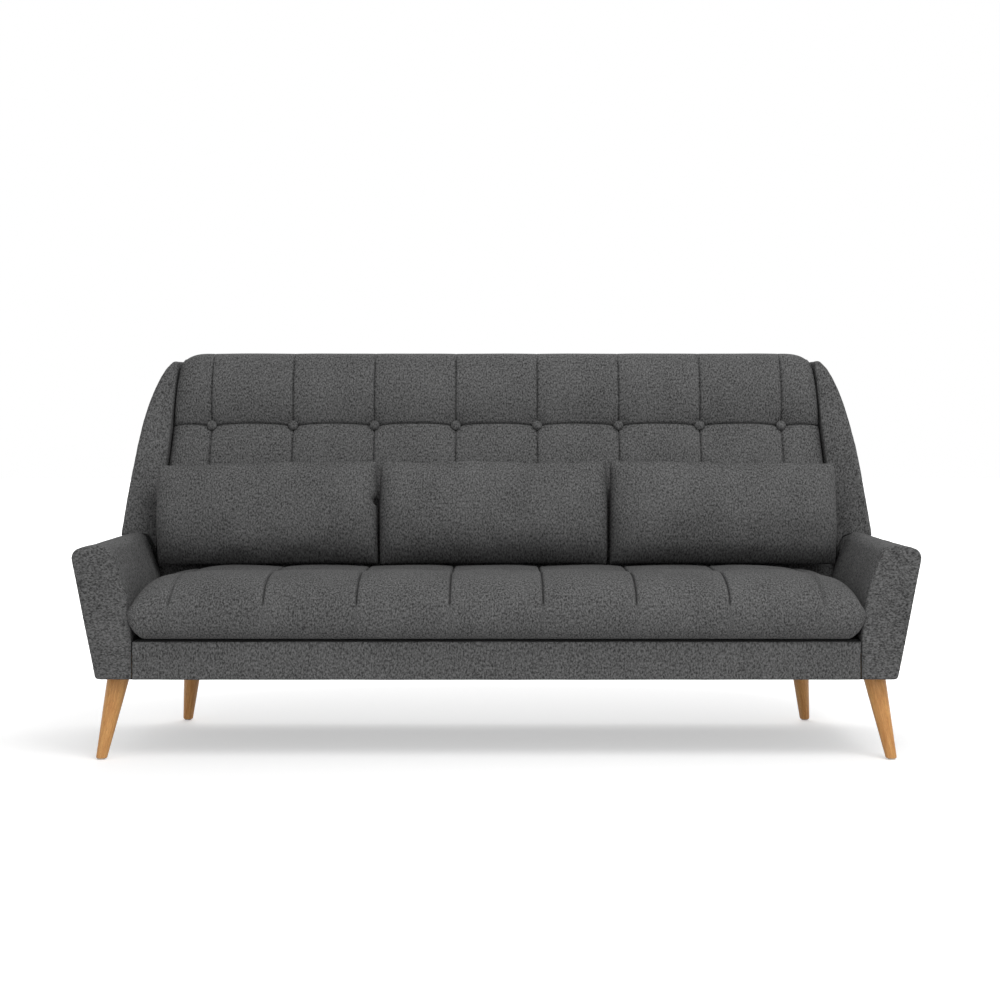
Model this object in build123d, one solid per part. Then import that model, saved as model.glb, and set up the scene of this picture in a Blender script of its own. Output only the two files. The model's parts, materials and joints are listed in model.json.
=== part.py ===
from build123d import *
import os
from math import atan, cos, hypot, radians, sin, sqrt, tan

# Upholstered three-seat sofa on splayed wooden legs: a timber frame with webbing, quilted seat and back,
# wings beside the back, leaning arms and three loose lumbar cushions.
# Millimetres and degrees. The front faces -Y, the floor is Z = 0, left and right are as seen from the front.

# Overall sizes
leg_height = 189.0
inner_width = 1715.0
fit = 0.3
soft_fit = 0.5

# Arms
arm_width = 86.5
arm_length = 478.0
arm_rise = 308.0
arm_lean = 11.2
arm_top_width = 89.0
arm_top_slope = 7.0
arm_flare_start = 82.0
arm_outer_radius = 25.0
arm_inner_radius = 30.0
arm_foot_radius = 10.0
arm_turn = 0.42
arm_padding = 12.0
arm_panel_thickness = 15.0
arm_panel_edge = 5.0
arm_plate_thickness = 18.0
arm_top_rail_depth = 45.0

# Base frame
apron_height = 86.0
apron_thickness = 12.0
apron_recess = 3.0
apron_edge = 4.0
rail_thickness = 30.0
dust_thickness = 1.5
strap_thickness = 3.0
deck_pad_thickness = 30.0
deck_rise = 94.0
base_tail = 114.0
cross_rail_width = 40.0
cross_rail_place = 290.0
cross_rail_relief = 10.0

# Seat cushion
cushion_overhang = 25.0
quilt_margin = 92.4
seam_count = 8
cushion_height = 154.0
nose_height = 60.0
nose_setback = 30.0
roll_radius = 88.0
seat_cross_back = 284.0
seat_cross_drop = 16.0
seat_tail_drop = 20.0
seat_rear_drop = 6.0
seat_tuft = 9.5
roll_tuft = (0.5, 0.7)
trim = 6.0
core_side_margin = 75.0
core_end_margin = 60.0
core_under = 14.0
core_height = 92.0
seat_end_reach = 264.0
seat_equator = 52.0
seat_end_lift = 24.0
seat_under_corner = 28.0
seat_front_corner = 40.0
# Sections beyond the seat's last seam: share of the way out and how far the cover swells there
seat_end_steps = ((0, 0), (0.4, 0.7), (0.7, 0.7), (0.9, 0.5), (1, 0.3))

# Back
wing_stand = 75.0
back_recline = 14.0
back_top_depth = 94.4
back_panel_thickness = 10.0
pad_heel_rise = 15.0
pad_height = 705.0
button_height = 497.0
pad_toe = 45.0
pad_lip = 18.0
pad_crest_drop = 36.0
pad_round_up = 0.72
pad_round_out = 0.68
pad_top_spread = 1.5
pad_side_flare = 0.0624
pad_corner_drop = 48.0
pad_lower_crown = 88.0
pad_lower_seam = 68.0
pad_cross_crown = 58.0
pad_cross_seam = 50.0
pad_upper_crown = 86.0
pad_upper_seam = 66.0
pad_crest_crown = 74.0
pad_crest_seam = 60.0
# Rolled side of the pad: share of the way out, swell, thickness share and share of the corner's drop
pad_end_steps = ((0, 0, 1, 0), (0.45, 0.8, 0.98, 0.04), (0.85, 0.5, 0.84, 0.36), (1, 0, 0.62, 1))
frame_depth = 40.0
frame_rail_height = 50.0
frame_post_width = 45.0
frame_drop = 45.0
frame_gap = 1.0
post_place = 273.0
side_panel_thickness = 20.0
border_rise = 33.0
border_crown = 6.0

# Wings
wing_taper = 0.107
wing_shoulder_height = 272.0
wing_shoulder_width = 66.0
wing_top_drop = 3.0
wing_inset = 22.0
wing_rake = 0.43
wing_rake_start = 60.0
wing_face_depth = 50.0
wing_corner = 18.0
wing_corner_share = 0.6
wing_bulge = 8.0
wing_root = 30.0
wing_lap = 8.0
wing_cap = 4.0
wing_shares = (0, 0.1, 0.24, 0.4, 0.54, 0.66, 0.76, 0.84, 0.91, 0.96, 1)

# Buttons and their ties
button_radius = 13.0
button_edge = 3.0
button_crown = 10.0
button_bed = 2.0
tie_radius = 1.5
toggle_radius = 10.0
toggle_thickness = 2.5

# Lumbar cushions
lumbar_spread = 38.5
lumbar_height = 277.0
lumbar_thickness = 150.0
lumbar_edge = 8.0
lumbar_draw = 7.0
lumbar_gap = 1.5
lumbar_rim = 2.0
lumbar_stations = (-1, -0.93, -0.7, -0.36, 0, 0.36, 0.7, 0.93, 1)
lumbar_power = 2.6
lumbar_fullness = 0.62
insert_end_margin = 56.5
insert_side_margin = 53.5
insert_face_margin = 45.0
settling_rounds = 4

# Webbing
strap_width = 60.0
seat_strap_count = 12
seat_strap_margin = 98.5
strap_tail = 25.0

# Legs and fixings
leg_top_radius = 26.0
leg_foot_radius = 12.5
leg_foot_edge = 3.0
leg_hole_margin = 2.0
front_splay = (32.0, -45.0)
rear_splay = (24.0, 41.5)
glide_radius = 9.0
glide_thickness = 3.0
glide_pin_radius = 2.0
glide_pin_length = 12.0
leg_plate_size = 60.0
leg_plate_thickness = 2.5
leg_plate_margin = 1.5
leg_block_margin = 20.0
hanger_radius = 4.0
hanger_in_leg = 40.0
hanger_in_block = 18.0
screw_radius = 2.0
screw_length = 16.0
screw_margin = 7.0
bolt_radius = 4.0
bolt_head_radius = 9.0
bolt_head = 5.0
bolt_bite = 40.0
bolt_height = 30.0
arm_bolt_front = 143.0
arm_bolt_rear = 72.0
back_bolt_margin = 22.0

# Heights and places that follow from the sizes above
far = 3000.0
recline = radians(back_recline)
frame_top = pad_height - frame_drop
border_top = frame_top + border_rise
back_set = arm_length + wing_stand
sofa_depth = cushion_overhang + back_set + border_top * sin(recline) + back_top_depth
inner_x = inner_width / 2
front_y = -sofa_depth / 2
arm_front_y = front_y + cushion_overhang
wing_front_y = arm_front_y + arm_length
base_z = leg_height
timber_z = base_z + dust_thickness
deck_z = base_z + deck_rise
strap_z = deck_z - deck_pad_thickness - strap_thickness
arm_outer_x = inner_x + arm_width
arm_top_z = base_z + arm_rise
arm_top_x = arm_outer_x + arm_rise * tan(radians(arm_lean))
frame_x = inner_x - side_panel_thickness
pad_heel_y = arm_front_y + back_set
pad_heel_z = deck_z + pad_heel_rise
back_panel_top = pad_heel_z + border_top * cos(recline)
rear_base_y = pad_heel_y + base_tail
rear_tilt = atan((sofa_depth / 2 - rear_base_y) / (back_panel_top - base_z))
wing_top = back_panel_top - wing_top_drop
wing_shoulder_z = back_panel_top - wing_shoulder_height
pad_top_half_width = inner_x + pad_top_spread
outer_seam_x = inner_x - quilt_margin
seam_pitch = 2 * outer_seam_x / (seam_count - 1)
lumbar_width = (inner_width + lumbar_spread) / 3 - lumbar_gap
seam_places = [seam_pitch * (i - (seam_count - 1) / 2) for i in range(seam_count)]
column_places = [seam_pitch * (i - (seam_count - 2) / 2) for i in range(seam_count - 1)]

back_plane = Plane((0, pad_heel_y, pad_heel_z), x_dir=(1, 0, 0), z_dir=(0, -cos(recline), sin(recline)))
rear_plane = Plane((0, sofa_depth / 2, back_panel_top), x_dir=(1, 0, 0),
                   z_dir=(0, cos(rear_tilt), -sin(rear_tilt)))

standing = (Align.CENTER, Align.CENTER, Align.MIN)
hanging = (Align.CENTER, Align.CENTER, Align.MAX)
nodes = {}


# Drawing helpers

def front_face(y, outline):
    """A face drawn as X and Z, standing at the given Y."""
    return Plane((0, y, 0), x_dir=(1, 0, 0), z_dir=(0, -1, 0)) * make_face(outline)


def block(x0, x1, y0, y1, z0, z1):
    """A box between two corners."""
    return Pos((x0 + x1) / 2, (y0 + y1) / 2, (z0 + z1) / 2) * Box(x1 - x0, y1 - y0, z1 - z0)


def back_block(x0, x1, v0, v1, w0, w1):
    """A box in the reclined back: v runs up the slope and w stands out of it, forward."""
    return back_plane * block(x0, x1, v0, v1, w0, w1)


def chain(steps):
    """A closed wire through points, with an arc wherever a step also gives a point to pass through."""
    edges = []
    for i, (start, through) in enumerate(steps):
        end = steps[(i + 1) % len(steps)][0]
        if through is None:
            edges.append(Edge.make_line(start, end))
        else:
            edges.append(Edge.make_three_point_arc(start, through, end))
    return Wire(edges)


def both_sides(shape):
    """The right-hand piece and its mirror image on the left."""
    return {"right": shape, "left": mirror(shape, about=Plane.YZ)}


def add_both(name, shape):
    """Keep a right-hand piece and its mirror image as two nodes."""
    for side, piece in both_sides(shape).items():
        nodes[side + "_" + name] = piece


def group(pieces):
    """Several separate solids kept as one node."""
    return Compound([solid for piece in pieces for solid in piece.solids()])


def rear_y(z):
    """Depth of the outside back's rear face at a height."""
    return sofa_depth / 2 - (back_panel_top - z) * tan(rear_tilt)


def rear_inner_y(z):
    """Depth of the outside back panel's front face at a height."""
    return rear_y(z) - back_panel_thickness / cos(rear_tilt)


def pad_plane_y(z, w):
    """Depth, at a height, of the plane standing w in front of the back frame."""
    return pad_heel_y + (z - pad_heel_z) * tan(recline) - w / cos(recline)


def back_point(v, w):
    """Depth and height of a point in the reclined back."""
    y = pad_heel_y + v * sin(recline) - w * cos(recline)
    z = pad_heel_z + v * cos(recline) + w * sin(recline)
    return y, z


def circle_through(a, b, c):
    """Centre and radius of the circle through three points of a plane."""
    d = 2 * (a[0] * (b[1] - c[1]) + b[0] * (c[1] - a[1]) + c[0] * (a[1] - b[1]))
    a2 = a[0] ** 2 + a[1] ** 2
    b2 = b[0] ** 2 + b[1] ** 2
    c2 = c[0] ** 2 + c[1] ** 2
    u = (a2 * (b[1] - c[1]) + b2 * (c[1] - a[1]) + c2 * (a[1] - b[1])) / d
    v = (a2 * (c[0] - b[0]) + b2 * (a[0] - c[0]) + c2 * (b[0] - a[0])) / d
    return (u, v), hypot(a[0] - u, a[1] - v)


# Quilted back pad: columns that swell between the seams and meet in a crease, drawn in across the buttons

def pad_profile(puff, thin, drop):
    """Side profile of the pad as (v, w) steps: puff is 0 on a seam and 1 between seams."""

    def between(seam, crown):
        return (seam + (crown - seam) * puff) * thin

    top = pad_height - drop
    crest = top - pad_crest_drop
    crest_w = between(pad_crest_seam, pad_crest_crown)
    lip_w = pad_lip * thin
    round_v = crest + pad_round_up * pad_crest_drop
    round_w = lip_w + pad_round_out * (crest_w - lip_w)
    return [
        ((0, -trim), None),
        ((0, pad_toe * thin), (button_height / 2, between(pad_lower_seam, pad_lower_crown))),
        ((button_height, between(pad_cross_seam, pad_cross_crown)),
         ((button_height + crest) / 2, between(pad_upper_seam, pad_upper_crown))),
        ((crest, crest_w), (round_v, round_w)),
        ((top, lip_w), None),
        ((top, -trim), None),
    ]


def pad_edge(v):
    """Half width of the pad at a place up the slope."""
    return pad_top_half_width + pad_side_flare * (pad_height - v)


def pad_section(x_at, puff, thin, drop):
    """Closed wire of the pad's profile, with X given for each place up the slope."""

    def place(point):
        return back_plane.from_local_coords(Vector(x_at(point[0]), point[0], point[1]))

    steps = []
    for start, through in pad_profile(puff, thin, drop):
        steps.append((place(start), None if through is None else place(through)))
    return chain(steps)


def straight(x):
    """A section that stands straight up the slope."""
    return lambda v: x


def toward_edge(share):
    """A section part of the way from the outermost seam to the pad's flared side."""
    return lambda v: outer_seam_x + share * (pad_edge(v) - outer_seam_x)


def pad_column():
    """One column of the pad, about X = 0."""
    half = seam_pitch / 2
    return Solid.make_loft([pad_section(straight(-half), 0, 1, 0), pad_section(straight(0), 1, 1, 0),
                            pad_section(straight(half), 0, 1, 0)])


def pad_end():
    """The narrow column between the outermost seam and the right side, rolling down to the edge."""
    return Solid.make_loft([pad_section(toward_edge(share), puff, thin, drop * pad_corner_drop)
                            for share, puff, thin, drop in pad_end_steps])


def make_back_pad():
    column = pad_column()
    end = pad_end()
    columns = [Pos(x, 0, 0) * column for x in column_places]
    pad = columns[0].fuse(*columns[1:], end, mirror(end, about=Plane.YZ))
    bed = pad_cross_seam - button_bed
    cuts = [back_block(-far, far, -far, far, -far, 0)]
    for x in seam_places:
        here = back_plane * Pos(x, button_height, bed)
        cuts.append(here * Cylinder(button_radius + fit, far, align=standing))
        cuts.append(here * Cylinder(tie_radius + fit, far))
    return pad - cuts


def make_button(x):
    """A covered button: a flat bed, a short edge and a low dome."""
    rise = button_crown - button_edge
    dome_radius = (button_radius ** 2 + rise ** 2) / (2 * rise)
    disc = Cylinder(button_radius, button_crown, align=standing)
    button = disc & Pos(0, 0, button_crown - dome_radius) * Sphere(dome_radius)
    return back_plane * Pos(x, button_height, pad_cross_seam - button_bed) * button


def make_tie(x):
    """A tie from a button through the pad to a toggle behind it."""
    length = pad_cross_seam - button_bed
    cord = Cylinder(tie_radius, length, align=standing)
    toggle = Pos(0, 0, -toggle_thickness) * Cylinder(toggle_radius, toggle_thickness, align=standing)
    return back_plane * Pos(x, button_height, 0) * (cord + toggle)


# Quilted seat cushion: the same swelling columns, with a front roll and a drawn-in cross seam

def pad_front_y():
    """Foremost depth of the pad's lower row, which the seat cushion must clear."""
    steps = pad_profile(1, 1, 0)
    toe, through = steps[1]
    cross = steps[2][0]
    centre, radius = circle_through(back_point(*toe), back_point(*through), back_point(*cross))
    return min(centre[0] - radius, back_point(*toe)[0])


seat_rear_y = pad_front_y() - soft_fit
seat_cross_y = front_y + seat_cross_back


def seat_profile(puff):
    """Side profile of the seat cushion as (y, height) steps: puff is 0 on a seam and 1 between seams."""
    tuft = seat_tuft * (1 - puff)
    nose_radius = (nose_setback ** 2 + nose_height ** 2) / (2 * nose_setback)
    swing = atan(nose_height / (nose_radius - nose_setback)) / 2
    nose_y = front_y + nose_radius * (1 - cos(swing))
    nose_z = nose_height - nose_radius * sin(swing)
    roll_y = front_y + roll_radius
    roll_z = nose_height + roll_radius - tuft
    lean_in = roll_radius * (1 - sqrt(0.5))
    lean_y = front_y + lean_in + roll_tuft[0] * tuft
    lean_z = nose_height + roll_radius - lean_in - roll_tuft[1] * tuft
    cross_z = cushion_height - seat_cross_drop - tuft
    tail_z = cushion_height - seat_tail_drop - tuft
    tail_y = seat_rear_y + trim
    return [
        ((tail_y, -trim), None),
        ((front_y + nose_setback, -trim), None),
        ((front_y + nose_setback, 0), (nose_y, nose_z)),
        ((front_y, nose_height), (lean_y, lean_z)),
        ((roll_y, roll_z), ((roll_y + seat_cross_y) / 2, cushion_height - tuft)),
        ((seat_cross_y, cross_z), ((seat_cross_y + tail_y) / 2, cushion_height - seat_rear_drop - tuft)),
        ((tail_y, tail_z), None),
    ]


seat_half_width = inner_x - soft_fit


def end_rounding(x, reach):
    """How far a quarter round of this reach, finishing at the seat's end, has turned in at X: 0 to 1."""
    share = max(0, (abs(x) - seat_half_width + reach) / reach)
    return 1 - sqrt(1 - min(share, 1) ** 2)


def seat_section(x, puff):
    """Closed wire of the seat's profile at X, lowered, lifted and set in where the ends round off."""
    lift = seat_end_lift * end_rounding(x, seat_under_corner)
    fall = (cushion_height - seat_equator) * end_rounding(x, seat_end_reach)
    squash = (cushion_height - fall - lift) / cushion_height
    set_in = seat_front_corner * end_rounding(x, seat_front_corner)

    def place(point):
        share = (seat_rear_y - point[0]) / (seat_rear_y - front_y)
        return Vector(x, point[0] + set_in * share, deck_z + lift + point[1] * squash)

    return chain([(place(start), None if through is None else place(through))
                  for start, through in seat_profile(puff)])


def seat_column(x):
    """One column of the seat, from seam to seam about X."""
    half = seam_pitch / 2
    return Solid.make_loft([seat_section(x - half, 0), seat_section(x, 1), seat_section(x + half, 0)])


def seat_end():
    """The rounded right end of the seat, beyond the outermost seam."""
    reach = seat_half_width - outer_seam_x
    return Solid.make_loft([seat_section(outer_seam_x + share * reach, puff) for share, puff in seat_end_steps])


def make_seat():
    end = seat_end()
    columns = [seat_column(x) for x in column_places]
    form = columns[0].fuse(*columns[1:], end, mirror(end, about=Plane.YZ))
    return form & block(-far, far, -far, seat_rear_y, deck_z, far)


def seat_core(grow):
    half = outer_seam_x - core_end_margin + grow
    return block(-half, half, front_y + core_side_margin - grow, seat_rear_y - core_side_margin + grow,
                 deck_z + core_under - grow, deck_z + core_under + core_height + grow)


nodes["seat_cushion_cover"] = make_seat() - seat_core(fit)
nodes["seat_cushion_core"] = seat_core(0)
nodes["inside_back_pad"] = make_back_pad()
nodes["back_buttons"] = group([make_button(x) for x in seam_places])
nodes["button_ties"] = group([make_tie(x) for x in seam_places])


# Loose lumbar cushions: crowned both ways, with drawn-in top and ends, leaning on the back pad

def lumbar_form():
    half_width = lumbar_width / 2
    half_height = lumbar_height / 2
    sections = []
    rim = lumbar_edge + lumbar_rim
    for share in lumbar_stations:
        swell = (1 - abs(share) ** lumbar_power) ** lumbar_fullness
        crown = rim + (lumbar_thickness / 2 - rim) * swell
        x = share * half_width
        top = half_height - lumbar_draw * (1 - share ** 2)
        low = -half_height
        mid = (top + low) / 2
        sections.append(chain([
            (Vector(x, low, -lumbar_edge), None),
            (Vector(x, low, lumbar_edge), Vector(x, mid, crown)),
            (Vector(x, top, lumbar_edge), None),
            (Vector(x, top, -lumbar_edge), Vector(x, mid, -crown)),
        ]))
    form = Solid.make_loft(sections)
    sweep_radius = (half_height ** 2 + lumbar_draw ** 2) / (2 * lumbar_draw)
    hollow = Pos(half_width - lumbar_draw + sweep_radius, 0, 0) * Cylinder(sweep_radius, 2 * lumbar_thickness)
    return form - [hollow, mirror(hollow, about=Plane.YZ)]


def seat_top_z(y):
    """Height of the seat's rear row between seams, at a depth."""
    steps = seat_profile(1)
    cross, through = steps[-2]
    centre, radius = circle_through(cross, through, steps[-1][0])
    return deck_z + centre[1] + sqrt(radius ** 2 - (y - centre[0]) ** 2)


lumbar_w = pad_lower_crown + lumbar_thickness / 2 + soft_fit
lumbar_rest_z = deck_z + cushion_height
for settling in range(settling_rounds):
    lumbar_v = (lumbar_rest_z - pad_heel_z - (lumbar_w - lumbar_edge) * sin(recline)) / cos(recline)
    rest_y = back_point(lumbar_v, lumbar_w - lumbar_edge)[0]
    lumbar_rest_z = seat_top_z(rest_y) + soft_fit
lumbar_shape = lumbar_form()
insert_width = lumbar_width - 2 * insert_end_margin
insert_height = lumbar_height - 2 * insert_side_margin
insert_thickness = lumbar_thickness - 2 * insert_face_margin
insert_shape = Box(insert_width, insert_height, insert_thickness)
insert_room = Box(insert_width + 2 * fit, insert_height + 2 * fit, insert_thickness + 2 * fit)
for place, name in enumerate(("left", "middle", "right")):
    x = (place - 1) * (lumbar_width + lumbar_gap)
    seated = back_plane * Pos(x, lumbar_v + lumbar_height / 2, lumbar_w)
    nodes[name + "_lumbar_cover"] = seated * (lumbar_shape - insert_room)
    nodes[name + "_lumbar_insert"] = seated * insert_shape


# Arms: one leaning profile used for the front panel, the wrap cover and the frame inside

def arm_outline(inset):
    """Face of the arm's profile at its front, drawn in by a padding thickness except underneath."""
    lean = radians(arm_lean)
    slope = tan(radians(arm_top_slope))
    top_z = arm_top_z - inset * (1 + slope)
    low_out = arm_outer_x - inset / cos(lean)
    outer_top = (low_out + (top_z - base_z) * tan(lean), top_z)
    top_width = arm_top_width - 2 * inset
    inner_top = (outer_top[0] - top_width, top_z + top_width * slope)
    flare = (inner_x + inset, base_z + arm_flare_start)
    outline = front_face(arm_front_y, [
        Line((inner_x + inset, base_z), (low_out, base_z)),
        Line((low_out, base_z), outer_top),
        Line(outer_top, inner_top),
        TangentArc(flare, inner_top, tangent=(0, 1)),
        Line(flare, (inner_x + inset, base_z)),
    ])
    corners = outline.vertices().sort_by(Axis.Z)
    low_corner = corners[:2].sort_by(Axis.X)[-1]
    top_corners = corners[-2:].sort_by(Axis.X)
    if inset == 0:
        outline = fillet(low_corner, arm_foot_radius)
    tops = outline.vertices().sort_by(Axis.Z)[-2:].sort_by(Axis.X)
    outline = fillet(tops[0], arm_inner_radius - inset)
    outer = outline.vertices().sort_by_distance(top_corners[1].center())[0]
    return fillet(outer, arm_outer_radius - inset)


def along_y(face, y0, y1):
    """Extrude a front face between two depths."""
    return Pos(0, y0 - arm_front_y, 0) * extrude(face, amount=y1 - y0, dir=(0, 1, 0))


arm_face = arm_outline(0)
arm_core_face = arm_outline(arm_padding)
arm_frame_face = arm_outline(arm_padding + fit)
panel_y = arm_front_y + arm_panel_thickness
plate_y = panel_y + arm_plate_thickness
arm_rear_y = wing_front_y - fit

panel = along_y(arm_face, arm_front_y, panel_y)
panel = fillet(panel.faces().sort_by(Axis.Y)[0].edges(), arm_panel_edge)
add_both("arm_front_panel", panel)

cover = along_y(arm_face, panel_y, arm_rear_y) - along_y(arm_core_face, panel_y, arm_rear_y)
cover -= block(0, inner_x + arm_padding, -far, far, 0, strap_z)
add_both("arm_cover", cover)

rail_outer_x = arm_outer_x - arm_padding / cos(radians(arm_lean)) - fit
plate_cut = block(0, far, -far, far, 0, timber_z)
front_plate = along_y(arm_frame_face, panel_y, plate_y) - plate_cut
rear_plate = along_y(arm_frame_face, arm_rear_y - arm_plate_thickness, arm_rear_y) - plate_cut
add_both("arm_front_plate", front_plate)
add_both("arm_rear_plate", rear_plate)
top_rail = along_y(arm_frame_face, plate_y, arm_rear_y - arm_plate_thickness)
top_rail -= block(0, far, -far, far, 0, arm_top_z - arm_top_rail_depth)
add_both("arm_top_rail", top_rail)

# Legs and their fixings, along each leg's splayed line

leg_top_z = timber_z
plate_top_z = leg_top_z + leg_plate_thickness
rail_y = arm_front_y + apron_recess + apron_thickness
block_y = pad_heel_y - frame_gap
base_rear_y = rear_inner_y(timber_z) - fit
rear_rail_y = base_rear_y - rail_thickness
leg_plate_room = leg_plate_size / 2 + leg_plate_margin
front_leg_top = (rail_outer_x - leg_plate_room, plate_y + leg_plate_room)
rear_leg_top = (frame_x - leg_plate_room, (block_y + rear_rail_y) / 2)


def leg_places():
    """Name, top and foot of each leg."""
    for name, top, splay in (("front", front_leg_top, front_splay), ("rear", rear_leg_top, rear_splay)):
        for side, sign in (("left", -1), ("right", 1)):
            foot = (sign * (top[0] + splay[0]), top[1] + splay[1])
            yield name + "_" + side, (sign * top[0], top[1]), foot


def leg_line(top, foot):
    """Plane at the top of a leg, facing down along it."""
    down = Vector(foot[0] - top[0], foot[1] - top[1], -leg_top_z)
    return Plane((top[0], top[1], leg_top_z), z_dir=down)


def make_leg(top, foot):
    length = Vector(foot[0] - top[0], foot[1] - top[1], leg_top_z).length
    taper = (leg_top_radius - leg_foot_radius) / length
    spare = leg_top_radius
    cone = Cone(leg_top_radius + taper * spare, leg_foot_radius - taper * spare, length + 2 * spare,
                align=standing)
    leg = leg_line(top, foot) * Pos(0, 0, -spare) * cone
    leg &= block(-far, far, -far, far, glide_thickness, leg_top_z)
    leg = fillet(leg.faces().sort_by(Axis.Z)[0].edges(), leg_foot_edge)
    hole = leg_line(top, foot) * Cylinder(hanger_radius + fit, 2 * (hanger_in_leg + fit))
    pin_hole = Cylinder(glide_pin_radius + fit, glide_thickness + glide_pin_length + fit, align=standing)
    return leg - [hole, Pos(foot[0], foot[1], 0) * pin_hole]


def make_glide(foot):
    disc = Cylinder(glide_radius, glide_thickness, align=standing)
    pin = Cylinder(glide_pin_radius, glide_thickness + glide_pin_length, align=standing)
    return Pos(foot[0], foot[1], 0) * (disc + pin)


def make_hanger(top, foot):
    bolt = Cylinder(hanger_radius, hanger_in_leg + hanger_in_block, align=standing)
    return leg_line(top, foot) * Pos(0, 0, -hanger_in_block) * bolt


def screw_places(top):
    """Centres of the four screws of a leg plate."""
    out = leg_plate_size / 2 - screw_margin
    for dx in (-out, out):
        for dy in (-out, out):
            yield top[0] + dx, top[1] + dy


def make_plate(top, foot):
    half = leg_plate_size / 2
    plate = block(top[0] - half, top[0] + half, top[1] - half, top[1] + half, leg_top_z, plate_top_z)
    cuts = [leg_line(top, foot) * Cylinder(hanger_radius + fit, 2 * hanger_in_leg)]
    for x, y in screw_places(top):
        cuts.append(Pos(x, y, leg_top_z) * Cylinder(screw_radius + fit, far))
    return plate - cuts


def make_screw(x, y):
    return Pos(x, y, leg_top_z) * Cylinder(screw_radius, screw_length, align=standing)


def leg_room(top, foot):
    """What is taken out of the timber above a leg: its plate, hanger bolt and screws."""
    half = leg_plate_size / 2 + fit
    room = [block(top[0] - half, top[0] + half, top[1] - half, top[1] + half, 0, plate_top_z)]
    room.append(leg_line(top, foot) * Cylinder(hanger_radius + fit, 2 * (hanger_in_block + fit)))
    for x, y in screw_places(top):
        room.append(Pos(x, y, leg_top_z) * Cylinder(screw_radius + fit, screw_length + fit, align=standing))
    return room


legs = list(leg_places())
for name, top, foot in legs:
    nodes[name + "_leg"] = make_leg(top, foot)
nodes["foot_glides"] = group([make_glide(foot) for name, top, foot in legs])
nodes["leg_plates"] = group([make_plate(top, foot) for name, top, foot in legs])
nodes["hanger_bolts"] = group([make_hanger(top, foot) for name, top, foot in legs])
nodes["plate_screws"] = group([make_screw(x, y) for name, top, foot in legs for x, y in screw_places(top)])

# Base frame between the arms, with the arm bottom rails that carry the front legs

tie_rail_y = block_y - rail_thickness
side_rail_x = inner_x - rail_thickness - fit
arm_bolt_places = (arm_front_y + arm_bolt_front, wing_front_y - arm_bolt_rear)
back_bolt_places = (block_y + back_bolt_margin, rear_rail_y - back_bolt_margin)


def bolt_along_x(x_head, sign, y, length):
    """A headed bolt running in the given direction along X from under its head."""
    shank = Cylinder(bolt_radius, length, align=standing)
    head = Cylinder(bolt_head_radius, bolt_head, align=hanging)
    return Pos(x_head, y, timber_z + bolt_height) * Rot(0, sign * 90, 0) * (shank + head)


def bolt_hole(y):
    return Pos(0, y, timber_z + bolt_height) * Rot(0, 90, 0) * Cylinder(bolt_radius + fit, far)


def blind_bolt_hole(x0, x1, y):
    """A bolt hole along X between two places."""
    hole = Cylinder(bolt_radius + fit, x1 - x0, align=standing)
    return Pos(x0, y, timber_z + bolt_height) * Rot(0, 90, 0) * hole


def bolt_head_room(x, y):
    """Room for a bolt head that stands outward from X."""
    room = Cylinder(bolt_head_radius + fit, 2 * (bolt_head + fit))
    return Pos(x, y, timber_z + bolt_height) * Rot(0, 90, 0) * room


arm_bolt_length = rail_thickness + bolt_bite
arm_bolt_end = side_rail_x + arm_bolt_length + fit
right_front_leg = [leg for leg in legs if leg[0] == "front_right"][0]
right_rear_leg = [leg for leg in legs if leg[0] == "rear_right"][0]

bottom_rail = block(inner_x, rail_outer_x, plate_y, arm_rear_y - arm_plate_thickness, timber_z, strap_z - fit)
bottom_rail -= leg_room(right_front_leg[1], right_front_leg[2])
bottom_rail -= [blind_bolt_hole(inner_x, arm_bolt_end, y) for y in arm_bolt_places]
add_both("arm_bottom_rail", bottom_rail)

nodes["base_front_rail"] = block(-inner_x + fit, inner_x - fit, rail_y, rail_y + rail_thickness, timber_z,
                                 strap_z)
nodes["base_rear_rail"] = block(-frame_x + fit, frame_x - fit, rear_rail_y, base_rear_y, timber_z, strap_z)
side_rail = block(side_rail_x, inner_x - fit, rail_y + rail_thickness, block_y, timber_z, strap_z)
side_rail -= [bolt_hole(y) for y in arm_bolt_places]
add_both("base_side_rail", side_rail)
nodes["base_tie_rail"] = block(-side_rail_x, side_rail_x, tie_rail_y, block_y - fit, timber_z, strap_z)
cross_rail = block(cross_rail_place - cross_rail_width / 2, cross_rail_place + cross_rail_width / 2,
                   rail_y + rail_thickness, tie_rail_y, timber_z, strap_z - cross_rail_relief)
nodes["base_cross_rails"] = group(both_sides(cross_rail).values())
leg_block_x = frame_x - leg_plate_size - leg_block_margin
leg_block = block(leg_block_x, frame_x - fit, block_y, rear_rail_y, timber_z, strap_z)
leg_block -= leg_room(right_rear_leg[1], right_rear_leg[2])
leg_block -= [blind_bolt_hole(frame_x - bolt_bite - fit, frame_x, y) for y in back_bolt_places]
add_both("rear_leg_block", leg_block)

arm_bolts = [bolt_along_x(side_rail_x, 1, y, arm_bolt_length) for y in arm_bolt_places]
nodes["arm_bolts"] = group([half for bolt in arm_bolts for half in both_sides(bolt).values()])
back_bolts = [bolt_along_x(inner_x, -1, y, side_panel_thickness + bolt_bite) for y in back_bolt_places]
nodes["back_bolts"] = group([half for bolt in back_bolts for half in both_sides(bolt).values()])

apron = block(-inner_x + soft_fit, inner_x - soft_fit, arm_front_y + apron_recess, rail_y, base_z,
              base_z + apron_height)
nodes["front_apron"] = fillet(apron.faces().sort_by(Axis.Y)[0].edges(), apron_edge)

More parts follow.
